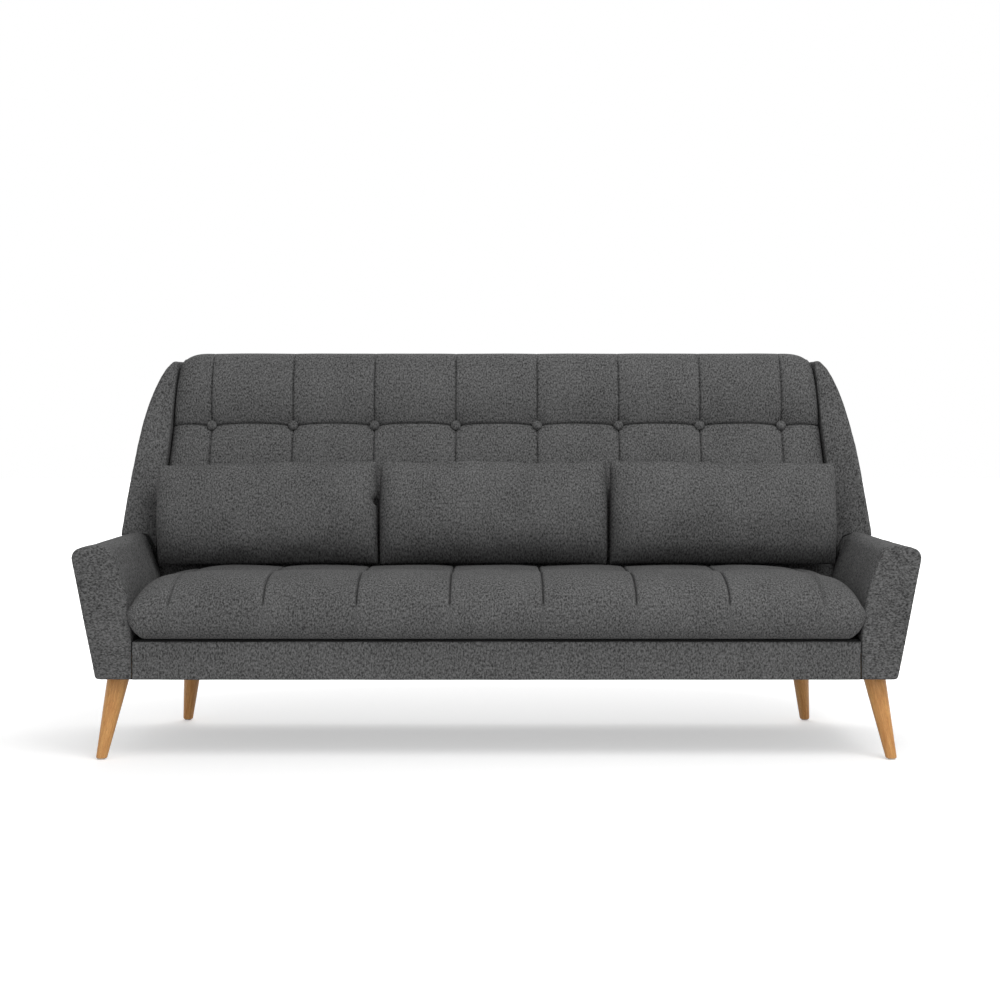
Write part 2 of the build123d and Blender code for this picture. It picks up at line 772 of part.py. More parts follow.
seat_straps = []
for i in range(seat_strap_count):
    x = (2 * i / (seat_strap_count - 1) - 1) * (inner_x - seat_strap_margin)
    seat_straps.append(block(x - strap_width / 2, x + strap_width / 2, rail_y + rail_thickness - strap_tail,
                             tie_rail_y + strap_tail, strap_z, strap_z + strap_thickness))
nodes["seat_webbing"] = group(seat_straps)
nodes["seat_deck_pad"] = block(-inner_x + soft_fit, inner_x - soft_fit, rail_y + fit, tie_rail_y + strap_tail,
                               strap_z + strap_thickness, deck_z)

dust = block(-rail_outer_x, rail_outer_x, panel_y + fit, arm_rear_y, base_z, timber_z)
dust += block(-inner_x, inner_x, arm_rear_y, base_rear_y, base_z, timber_z)
for name, top, foot in legs:
    dust -= leg_line(top, foot) * Cylinder(leg_top_radius + leg_hole_margin, 4 * leg_top_radius)
dust -= block(-inner_x, inner_x, -far, rail_y + fit, 0, far)
nodes["dust_cover"] = dust

# Back frame: side panels, rails, posts and webbing, with the top border and the outside panel

side_outline = [
    (pad_heel_y, timber_z),
    (pad_heel_y, pad_heel_z),
    back_point(frame_top, 0),
    (rear_inner_y(back_point(frame_top, 0)[1]) - fit, back_point(frame_top, 0)[1]),
    (rear_inner_y(timber_z) - fit, timber_z),
]
side_plane = Plane((frame_x, 0, 0), x_dir=(0, 1, 0), z_dir=(1, 0, 0))
side_panel = extrude(side_plane * make_face(Polyline(*side_outline, close=True)), amount=side_panel_thickness)
side_panel -= [bolt_hole(y) for y in back_bolt_places]
add_both("back_side_panel", side_panel)

rail_x = frame_x - fit
rail_front = -strap_thickness
rail_back = rail_front - frame_depth
nodes["back_tuck_rail"] = back_block(-rail_x, rail_x, 0, frame_rail_height, rail_back, rail_front)
nodes["back_top_rail"] = back_block(-rail_x, rail_x, frame_top - frame_rail_height, frame_top, rail_back,
                                    rail_front)
post = back_block(post_place - frame_post_width / 2, post_place + frame_post_width / 2, frame_rail_height,
                  frame_top - frame_rail_height, rail_back, rail_front)
nodes["back_posts"] = group(both_sides(post).values())
nodes["back_webbing"] = group([
    back_block(x - strap_width / 2, x + strap_width / 2, frame_rail_height - strap_tail,
               frame_top - frame_rail_height + strap_tail, -strap_thickness, 0)
    for x in column_places
])

border_front_low = back_point(frame_top + fit, -fit)
border_front_top = back_point(border_top, -fit)
border_rear_top = (rear_inner_y(back_panel_top) - fit, back_panel_top)
border_rear_low = (rear_inner_y(border_front_low[1]) - fit, border_front_low[1])
border_crest = ((border_front_top[0] + border_rear_top[0]) / 2, border_front_top[1] + border_crown)
border_face = make_face([
    Line(border_front_low, border_front_top),
    ThreePointArc(border_front_top, border_crest, border_rear_top),
    Line(border_rear_top, border_rear_low),
    Line(border_rear_low, border_front_low),
])
border_plane = Plane((-inner_x, 0, 0), x_dir=(0, 1, 0), z_dir=(1, 0, 0))
nodes["back_top_border"] = extrude(border_plane * border_face, amount=2 * inner_x)

# Wings: the back's padded sides, standing forward of the pad above the arms and rounding in at the shoulder


def wing_outer_x(z):
    """Half width of the sofa at a height above the arms."""
    x = arm_top_x - wing_inset - wing_taper * (z - arm_top_z)
    if z > wing_shoulder_z:
        rise = min((z - wing_shoulder_z) / wing_shoulder_height, 1)
        x -= wing_shoulder_width * (1 - sqrt(1 - rise ** 2))
    return x


wing_low_z = arm_top_z - wing_root


def wing_section(z):
    """Level section of the right wing, from the back's side panel to its rounded front corner."""
    rise = z - wing_low_z
    front = wing_front_y - wing_lap + wing_rake * rise ** 2 / (rise + wing_rake_start)
    inner = (inner_x, pad_plane_y(z, wing_face_depth))
    corner = (wing_outer_x(z), front)
    span = hypot(corner[0] - inner[0], corner[1] - inner[1])
    along = ((corner[0] - inner[0]) / span, (corner[1] - inner[1]) / span)
    bend = min(wing_corner, wing_corner_share * span)
    face_end = (corner[0] - bend * along[0], corner[1] - bend * along[1])
    side_start = (corner[0], corner[1] + bend)
    turn = tuple((face_end[i] + 2 * corner[i] + side_start[i]) / 4 for i in (0, 1))
    bulge = wing_bulge * span / (arm_top_x - inner_x)
    middle = ((inner[0] + face_end[0]) / 2 + bulge * along[1],
              (inner[1] + face_end[1]) / 2 - bulge * along[0])
    beyond = sofa_depth / 2 + back_panel_thickness
    return chain([
        (Vector(inner[0], beyond, z), None),
        (Vector(*inner, z), Vector(*middle, z)),
        (Vector(*face_end, z), Vector(*turn, z)),
        (Vector(*side_start, z), None),
        (Vector(corner[0], beyond, z), None),
    ])


wing_levels = [wing_low_z + share * (wing_top - wing_low_z) for share in wing_shares]
room_low = -wing_lap
room_high = 2 * pad_height
low_half = pad_edge(room_low) + soft_fit
high_half = pad_edge(room_high) + soft_fit
pad_room = make_face(Polyline((-low_half, room_low), (low_half, room_low), (high_half, room_high),
                              (-high_half, room_high), close=True))
pad_room = extrude(back_plane * Pos(0, 0, -fit) * pad_room, amount=sofa_depth)
behind = rear_plane * Pos(0, 0, -back_panel_thickness - fit) * Pos(0, 0, far / 2) * Box(2 * far, 2 * far, far)
wing_cuts = [pad_room, behind, block(-far, inner_x + fit, -far, far, 0, far)]
wing_base = along_y(arm_face, wing_front_y, sofa_depth / 2) - wing_cuts
add_both("wing_base", wing_base - [bolt_head_room(inner_x, y) for y in back_bolt_places])


below = along_y(arm_outline(-fit), -far, far)
wing = Solid.make_loft([wing_section(z) for z in wing_levels], ruled=True) - [*wing_cuts, below]
add_both("wing", wing)

shoulder_points = [(wing_outer_x(z), z) for z in wing_levels[2:]]
shoulder_end = (shoulder_points[-1][0] - wing_cap, back_panel_top)
arm_side_z = arm_top_z - 2 * arm_outer_radius
arm_side_x = arm_outer_x + (arm_side_z - base_z) * tan(radians(arm_lean))
shoulder_foot = (wing_outer_x(arm_top_z + wing_cap), arm_top_z + wing_cap)
turn_point = (arm_top_x - arm_turn * arm_outer_radius, arm_top_z - arm_turn * arm_outer_radius)
half_outline = [
    Line((0, base_z), (arm_outer_x, base_z)),
    Line((arm_outer_x, base_z), (arm_side_x, arm_side_z)),
    ThreePointArc((arm_side_x, arm_side_z), turn_point, shoulder_foot),
    Spline(shoulder_foot, *shoulder_points),
    Line(shoulder_points[-1], shoulder_end),
    Line(shoulder_end, (0, back_panel_top)),
    Line((0, back_panel_top), (0, base_z)),
]
half_panel = extrude(front_face(0, half_outline), amount=sofa_depth, dir=(0, 1, 0))
slab = rear_plane * Pos(0, 0, -back_panel_thickness / 2) * Box(2 * far, 2 * far, back_panel_thickness)
half_panel = half_panel & slab
nodes["outside_back_panel"] = half_panel + mirror(half_panel, about=Plane.YZ)

os.makedirs("parts", exist_ok=True)
for name, shape in nodes.items():
    export_step(shape, "parts/" + name + ".step")
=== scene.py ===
import json
from math import cos, pi, radians, sin

import bmesh
import bpy
import numpy as np
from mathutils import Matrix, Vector


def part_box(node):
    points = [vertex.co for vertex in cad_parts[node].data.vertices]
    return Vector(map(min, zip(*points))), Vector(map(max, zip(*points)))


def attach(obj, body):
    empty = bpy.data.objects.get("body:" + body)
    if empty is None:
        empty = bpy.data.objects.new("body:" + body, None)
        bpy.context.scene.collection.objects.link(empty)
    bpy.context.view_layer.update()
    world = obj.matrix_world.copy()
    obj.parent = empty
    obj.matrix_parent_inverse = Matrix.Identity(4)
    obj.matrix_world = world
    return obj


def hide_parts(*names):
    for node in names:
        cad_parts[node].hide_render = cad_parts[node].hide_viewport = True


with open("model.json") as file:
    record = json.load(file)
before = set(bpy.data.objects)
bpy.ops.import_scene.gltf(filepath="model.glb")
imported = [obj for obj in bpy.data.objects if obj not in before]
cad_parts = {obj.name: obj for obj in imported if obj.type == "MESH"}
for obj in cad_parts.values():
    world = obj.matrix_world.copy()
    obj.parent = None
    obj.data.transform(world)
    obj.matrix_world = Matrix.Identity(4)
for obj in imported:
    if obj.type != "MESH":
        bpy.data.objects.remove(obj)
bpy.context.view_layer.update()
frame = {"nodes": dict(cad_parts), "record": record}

# Upholstered sofa in heathered charcoal wool on oak legs.
# Metres; the front faces -Y and the floor is Z = 0.

# Camera, fitted to the photograph's frame
camera_place = (0.0, -4.695, 0.753)
camera_lens = 65.95
camera_sensor = 36
camera_shift = (0.0036, -0.060)

# Quilting shared by the seat and the back
seam_count = 8
quilt_margin = 0.0924
inner_half_width = 0.8575
outer_seam_x = inner_half_width - quilt_margin
seam_places = np.linspace(-outer_seam_x, outer_seam_x, seam_count)
crease_depth = 0.009
crease_width = 0.0016
column_steps = (0, 0.0011, 0.0024, 0.0042, 0.0068, 0.0105, 0.016, 0.024, 0.035, 0.05, 0.068, 0.088)

# Back pad: profile sizes up the reclined slope (v) and out of it (w)
recline = radians(14.0)
pad_height = 0.705
button_height = 0.497
pad_toe = 0.045
pad_lip = 0.018
pad_crest_drop = 0.036
pad_top_half_width = 0.859
pad_side_flare = 0.0624
pad_corner_drop = 0.048
pad_edge_share = 0.38
cross_rise = 0.005
pad_lower = (0.079, 0.088)
pad_cross = (0.053, 0.058)
pad_upper = (0.078, 0.086)
pad_crest = (0.067, 0.074)
pad_puff_power = 3.0
dimple_depth = 0.012
dimple_radius = 0.021
pad_least = 0.004
pad_rim = 0.0005
pad_rim_weave = 0.03
pad_uneven = 0.0013
pad_uneven_size = 0.16
pad_uneven_depth = 0.04
pad_seed = 3

# Back pad ends, beyond the outer seams: places as shares of the margin, their swell and how they round off
pad_end_shares = np.array([0.012, 0.028, 0.05, 0.08, 0.12, 0.17, 0.24, 0.32, 0.41,
                           0.5, 0.59, 0.68, 0.76, 0.83, 0.89, 0.94, 0.975, 1.0])
pad_end_puff = 0.8
pad_end_puff_reach = 0.9
pad_end_puff_power = 0.7
pad_end_arch = 0.6
pad_end_arch_rate = 1.6
pad_thin_power = 5
pad_corner_power = 3

# Back pad rows: how many, and the shares of each half where they crowd toward the cross seam
pad_lower_rows = 30
pad_upper_rows = 22
pad_roll_rows = 13
pad_near_rows = 12
pad_near_power = 1.6
pad_lower_near = 0.1
pad_upper_near = 0.2

# Back pad top: how far its roll keeps its way at the crest and at the lip, and what is left of the seams
pad_crest_handle = 0.5
pad_lip_handle = 0.55
pad_seam_fade = 0.25

# Seat cushion: profile sizes from its front (y) and above the deck (z)
seat_crease_depth = 0.013
seat_equator = 0.060
seat_tuft = 0.0045
seat_end_reach = 0.264
seat_end_power = 3.8
seat_end_bulge = 0.005
seat_bulge_height = 0.06
seat_corner = 0.024
seat_bottom_corner = 0.030
seat_ear = 0.008
seat_ear_depth = 0.024
seat_ear_power = 4
seat_side_gap = 0.0005
seat_end_rows = 26
seat_end_stop = 0.985
seat_puff_power = 2.8
seat_end_puff_width = 0.06
seat_end_puff_power = 0.7
seat_cross_fade = 0.05
seat_uneven = 0.0018
seat_uneven_size = 0.22
seat_settle = 0.001
seat_seed = 11

# Seat profile: the joins of its curves, and where the tufts and the stitching start on its front
seat_foot = (0.055, 0)
seat_nose = (0, seat_equator)
seat_crown = (0.190, 0.1545)
seat_cross = (0.284, 0.138)
seat_rear_crown = (0.41, 0.150)
seat_rear_height = 0.105
seat_heel = 0.012
seat_cross_above = 0.07
tuft_start = 0.24
tuft_run = 0.5
stitch_start = 0.08
stitch_run = 0.08

# Lumbar cushions
lumbar_height = 0.272
lumbar_thickness = 0.150
lumbar_foot_set_back = 0.045
lumbar_widths = {"left": 0.576, "middle": 0.594, "right": 0.591}
seat_clearance = 0.001
lumbar_cells = (112, 56)
lumbar_tilts = {"left": 1.3, "middle": 0.2, "right": -0.6}
lumbar_shifts = {"left": (-0.0093, -0.004), "middle": (-0.0078, -0.001), "right": (0.0024, -0.002)}
lumbar_seed = 21

# Lumbar form before it is blown up: cut corners, bowed edges, and how full it is toward its seams
lumbar_corner_cut = 0.014
lumbar_corner_power = 14
lumbar_side_bow = 0.005
lumbar_top_bow = 0.02
lumbar_end_power = 9
lumbar_crown_power = 2.1
lumbar_round = 0.5
lumbar_foot_round = 0.6
lumbar_foot_power = 1.5
lumbar_half_share = 0.46
lumbar_fold = 0.05
lumbar_fold_size = 0.09

# Air that blows the lumbar cushions up, and the most that a point may move
air_pressure = 4.0
air_frames = 20
air_limit = 0.006

# Slack along the lumbar seams: height and length of its waves, lengths in half widths
seam_waves = {"left": 0.003, "middle": 0.006, "right": 0.004}
seam_wave_length = 0.28
seam_wave_lean = 0.3
seam_wave_power = 6
seam_wave_seed = 40
end_wave = 0.001
end_wave_power = 8

# Pinch in the left cushion's inner end: place in half heights, size, reach in half widths and depth
pinch_height = 0.17
pinch_half_height = 0.07
pinch_reach = 0.05
pinch_depth = 0.013

# Buttons
button_radius = 0.0136
button_rise = 0.0115
button_sink = 0.004
button_wrap = 1.12
button_tuck = 0.93
button_pucker = 0.012
button_folds = 7
button_rings = 9
button_sides = 28
button_weave_step = 0.3

# Arms: the swell of each padded top
arm_crown_x = 0.942
arm_crown_half_width = 0.052
arm_crown_depth = 0.03
arm_crown_rise = 0.009

# Apron: how much higher its padded top edge stands than the rail's cover
apron_rise = 0.004
apron_hem = 0.006

# Cloth over the frame: length of its waves, how far it lies in, and the rolled edges of flat pieces
cloth_wave = 0.18
cloth_sink = 0.6
weld_gap = 0.00002
edge_segments = 3
edge_angle = radians(40)
panel_cell = 0.05

# Waves that make surfaces uneven: how many, the spread of their lengths and their height together
wave_count = 7
wave_spread = (0.6, 1.6)
wave_gain = 1.6

# Studio: the floor, the distances between which it turns plain white, and where the world's light changes
floor_size = 60
floor_glow = 0.445
glow_start = 0.9
glow_end = 2.2
glow_squeeze = (0.7, 1, 1)
front_light = (-0.9, 0.1)
side_light = 0.9


# Drawing helpers

def random_waves(seed, size):
    """Directions and phases of a few waves that add up to gentle unevenness."""
    rng = np.random.default_rng(seed)
    phases = rng.uniform(0, 2 * pi, (wave_count, 3))[:, 0]
    ways = rng.normal(size=(wave_count, 3))
    ways /= np.linalg.norm(ways, axis=1)[:, None]
    lengths = size * rng.uniform(*wave_spread, wave_count)
    return ways * (2 * pi / lengths)[:, None], phases


def unevenness(points, seed, size):
    """A smooth value from about -1 to 1 at each point, the same on every run."""
    ways, phases = random_waves(seed, size)
    return np.sin(points @ ways.T + phases).mean(axis=1) * wave_gain


def curve(p0, p1, p2, p3, t):
    """Points on a cubic curve between p0 and p3, which may be arrays of points."""
    p0, p1, p2, p3 = (np.asarray(p, float) for p in (p0, p1, p2, p3))
    t = np.asarray(t, float).reshape((-1,) + (1,) * p0.ndim)
    return p0 * (1 - t) ** 3 + 3 * p1 * t * (1 - t) ** 2 + 3 * p2 * t ** 2 * (1 - t) + p3 * t ** 3


def swelling(start, middle, end, t):
    """A value that passes through start, middle and end as t goes from 0 to 1."""
    return start * (1 - t) * (1 - 2 * t) + 4 * middle * t * (1 - t) + end * t * (2 * t - 1)


def path_length(points):
    """How far along a path each of its points lies."""
    return np.concatenate([[0], np.cumsum(np.linalg.norm(np.diff(points, axis=0), axis=1))])


def grid_faces(rows, columns):
    """Quads between the points of a grid that is stored row by row."""
    faces = []
    for r in range(rows - 1):
        for c in range(columns - 1):
            a = r * columns + c
            faces.append((a, a + 1, a + columns + 1, a + columns))
    return faces


def new_piece(name, points, faces, weave):
    """A smooth-shaded mesh object, with the cloth's own coordinates kept on its points."""
    mesh = bpy.data.meshes.new(name)
    mesh.from_pydata([tuple(p) for p in points], [], faces)
    mesh.validate()
    mesh.update()
    mesh.polygons.foreach_set("use_smooth", np.ones(len(mesh.polygons), bool))
    piece = bpy.data.objects.new(name, mesh)
    bpy.context.scene.collection.objects.link(piece)
    keep_weave(mesh, weave)
    return piece


def keep_weave(mesh, weave):
    """Store the cloth's own coordinates on a mesh's points."""
    attribute = mesh.attributes.new("weave", "FLOAT_VECTOR", "POINT")
    attribute.data.foreach_set("vector", np.asarray(weave, np.float32).ravel())


def points_of(mesh):
    """A mesh's points as an array with a row for each."""
    points = np.zeros(len(mesh.vertices) * 3)
    mesh.vertices.foreach_get("co", points)
    return points.reshape(-1, 3)


def set_points(mesh, points):
    """Move a mesh's points to the rows of an array."""
    mesh.vertices.foreach_set("co", np.asarray(points, np.float32).ravel())
    mesh.update()


def dress(piece, body, material, nodes):
    """Give a piece its finish, the body it rides on and the frame's nodes that it stands for."""
    piece.data.materials.clear()
    piece.data.materials.append(material)
    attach(piece, body)
    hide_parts(*nodes)
    return piece


# Materials

def add_node(tree, kind, inputs=None, **settings):
    """A shader node with its settings made and its inputs set or linked."""
    made = tree.nodes.new(kind)
    for key, value in settings.items():
        setattr(made, key, value)
    for key, value in (inputs or {}).items():
        if isinstance(value, bpy.types.NodeSocket):
            tree.links.new(value, made.inputs[key])
        else:
            made.inputs[key].default_value = value
    return made


def new_material(name):
    """A new material, its node tree and its main shader."""
    material = bpy.data.materials.new(name)
    material.use_nodes = True
    tree = material.node_tree
    return material, tree, tree.nodes["Principled BSDF"]


def scaled(tree, place, scale, turn=(0, 0, 0)):
    """A place on the surface, scaled and turned."""
    inputs = {"Vector": place, "Scale": scale, "Rotation": turn}
    return add_node(tree, "ShaderNodeMapping", inputs).outputs[0]


def noise(tree, place, detail=2.0, roughness=0.5, distortion=0.0):
    """Soft noise at a place on the surface."""
    inputs = {"Vector": place, "Scale": 1.0, "Detail": detail, "Roughness": roughness}
    return add_node(tree, "ShaderNodeTexNoise", inputs | {"Distortion": distortion}).outputs[0]


def combined(tree, operation, *values):
    """What an operation makes of numbers and of values from the surface."""
    return add_node(tree, "ShaderNodeMath", dict(enumerate(values)), operation=operation).outputs[0]


def blended(tree, factor, first, second):
    """A colour between two, each plain or from the surface, by a factor from the surface."""
    mix = add_node(tree, "ShaderNodeMix", {"Factor": factor}, data_type="RGBA")
    for socket, colour in ((mix.inputs[6], first), (mix.inputs[7], second)):
        if isinstance(colour, bpy.types.NodeSocket):
            tree.links.new(colour, socket)
        else:
            socket.default_value = (*colour, 1)
    return mix.outputs[2]


def ranged(tree, value, low, high, to_low=0.0, to_high=1.0):
    """A value carried from one range to another, and held at its ends."""
    inputs = {"Value": value, "From Min": low, "From Max": high, "To Min": to_low, "To Max": to_high}
    return add_node(tree, "ShaderNodeMapRange", inputs).outputs[0]


def bumped(tree, shader, height, strength, distance):
    """Give a shader fine relief from a height on the surface."""
    bump = add_node(tree, "ShaderNodeBump", {"Height": height, "Strength": strength, "Distance": distance})
    tree.links.new(bump.outputs[0], shader.inputs["Normal"])


def wool(name, dark, pale, fleck=(0.0036, 0.0055)):
    """Felted wool cloth: short pale worms of fibre on a darker ground, longest along the cloth."""
    material, tree, shader = new_material(name)
    place = add_node(tree, "ShaderNodeAttribute", attribute_name="weave").outputs["Vector"]
    across, along = fleck
    worm_place = scaled(tree, place, (1 / across, 1 / along, 1 / across))
    worms = noise(tree, worm_place, detail=0.8, roughness=0.5, distortion=0.5)
    fuzz = noise(tree, scaled(tree, place, (900, 500, 900)), detail=3.0, roughness=0.6, distortion=0.3)
    drift = noise(tree, scaled(tree, place, (9, 6, 9)))
    tone = combined(tree, "MULTIPLY_ADD", ranged(tree, worms, 0.29, 0.71), 0.85,
                    ranged(tree, fuzz, 0.3, 0.7, -0.04, 0.16))
    shade = combined(tree, "ADD", tone, ranged(tree, drift, 0.3, 0.7, -0.06, 0.06))
    tree.links.new(blended(tree, shade, dark, pale), shader.inputs["Base Color"])
    bumped(tree, shader, shade, strength=0.35, distance=0.0012)
    shader.inputs["Roughness"].default_value = 0.92
    shader.inputs["Specular IOR Level"].default_value = 0.1
    shader.inputs["Sheen Weight"].default_value = 0.02
    shader.inputs["Sheen Roughness"].default_value = 0.5
    return material


def wood(name, dark, pale, lean=(0.0, 0.0), ring=0.004, polish=0.42):
    """Straight-grained wood, its grain along a line that leans from upright by the given slopes."""
    material, tree, shader = new_material(name)
    place = add_node(tree, "ShaderNodeTexCoord").outputs["Object"]
    upright = scaled(tree, place, (1, 1, 1), (-lean[1], lean[0], 0))
    ring_place = scaled(tree, upright, (1 / ring, 1 / ring, 7))
    bands = noise(tree, ring_place, detail=3.0, roughness=0.55, distortion=0.6)
    pores = noise(tree, scaled(tree, upright, (1500, 1500, 40)), roughness=0.6)
    drift = noise(tree, scaled(tree, upright, (40, 40, 9)))
    tone = combined(tree, "MULTIPLY", ranged(tree, bands, 0.3, 0.7), 0.75)
    tone = combined(tree, "ADD", tone, ranged(tree, drift, 0.3, 0.7, -0.1, 0.3))
    colour = blended(tree, tone, dark, pale)
    pore_colour = [0.45 * c for c in dark]
    colour = blended(tree, ranged(tree, pores, 0.36, 0.46, 0.45, 0.0), colour, pore_colour)
    tree.links.new(colour, shader.inputs["Base Color"])
    tree.links.new(ranged(tree, bands, 0.3, 0.7, polish + 0.08, polish - 0.04), shader.inputs["Roughness"])
    bumped(tree, shader, pores, strength=0.12, distance=0.0004)
    return material


def plain(name, dark, pale, size, roughness, metallic=0.0, bump=0.15):
    """A fine-grained finish with small changes of tone, such as plastic, steel, foam or twine."""
    material, tree, shader = new_material(name)
    place = add_node(tree, "ShaderNodeTexCoord").outputs["Object"]
    grain = noise(tree, scaled(tree, place, (1 / size,) * 3), detail=3.0, roughness=0.6)
    tree.links.new(blended(tree, ranged(tree, grain, 0.3, 0.7), dark, pale), shader.inputs["Base Color"])
    bumped(tree, shader, grain, bump, size / 4)
    shader.inputs["Roughness"].default_value = roughness
    shader.inputs["Metallic"].default_value = metallic
    return material


def webbing_cloth(name, dark, pale, rib):
    """Woven strap or backing cloth with fine ribs."""
    material, tree, shader = new_material(name)
    place = add_node(tree, "ShaderNodeTexCoord").outputs["Object"]
    ribs = add_node(tree, "ShaderNodeTexWave", {"Vector": place, "Scale": 1 / rib, "Distortion": 0.6})
    tree.links.new(blended(tree, ribs.outputs[1], dark, pale), shader.inputs["Base Color"])
    bumped(tree, shader, ribs.outputs[1], strength=0.3, distance=0.0005)
    shader.inputs["Roughness"].default_value = 0.85
    return material


charcoal = wool("charcoal_wool", (0.030, 0.030, 0.030), (0.172, 0.172, 0.172))
foam = plain("foam", (0.70, 0.66, 0.52), (0.82, 0.79, 0.68), 0.003, 0.95, bump=0.4)


# Cloth simulation

def inflate(piece, pressure, frames, limit, stiffness=12.0):
    """Swell a closed mesh by air pressure, without gravity, and keep the result within a limit."""
    start = points_of(piece.data)
    cloth = piece.modifiers.new("Cloth", "CLOTH")
    settings = cloth.settings
    settings.quality = 6
    settings.mass = 0.25
    settings.tension_stiffness = stiffness
    settings.compression_stiffness = stiffness
    settings.shear_stiffness = stiffness / 2
    settings.bending_stiffness = 0.4
    settings.use_pressure = True
    settings.uniform_pressure_force = pressure
    settings.effector_weights.gravity = 0
    cloth.point_cache.frame_start = 1
    cloth.point_cache.frame_end = frames
    scene = bpy.context.scene
    for step in range(1, frames + 1):
        scene.frame_set(step)
    swollen = points_of(piece.evaluated_get(bpy.context.evaluated_depsgraph_get()).data)
    piece.modifiers.remove(cloth)
    scene.frame_set(1)
    move = swollen - start
    reach = np.linalg.norm(move, axis=1)
    share = np.minimum(1, limit / np.maximum(reach, 1e-9))
    set_points(piece.data, start + move * share[:, None])


# Quilted back pad

pad_low, pad_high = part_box("inside_back_pad")
heel_y = pad_high.y - pad_height * sin(recline)
heel_z = pad_low.z


def on_slope(x, v, w):
    """Points of the reclined back in the frame's own axes."""
    y = heel_y + v * sin(recline) - w * cos(recline)
    z = heel_z + v * cos(recline) + w * sin(recline)
    return np.stack([x, y, z], axis=-1)


def column_lines():
    """Places across the quilting, close together at the seams, and how far each is from its seam."""
    pitch = seam_places[1] - seam_places[0]
    half = list(column_steps) + [pitch / 2]
    places, gaps, shares = [], [], []
    for left in seam_places[:-1]:
        for s in half + [pitch - s for s in reversed(half[:-1])][:-1]:
            places.append(left + s)
            gaps.append(min(s, pitch - s))
            shares.append(s / pitch)
    places.append(seam_places[-1])
    gaps.append(0.0)
    shares.append(0.0)
    return np.array(places), np.array(gaps), np.array(shares)


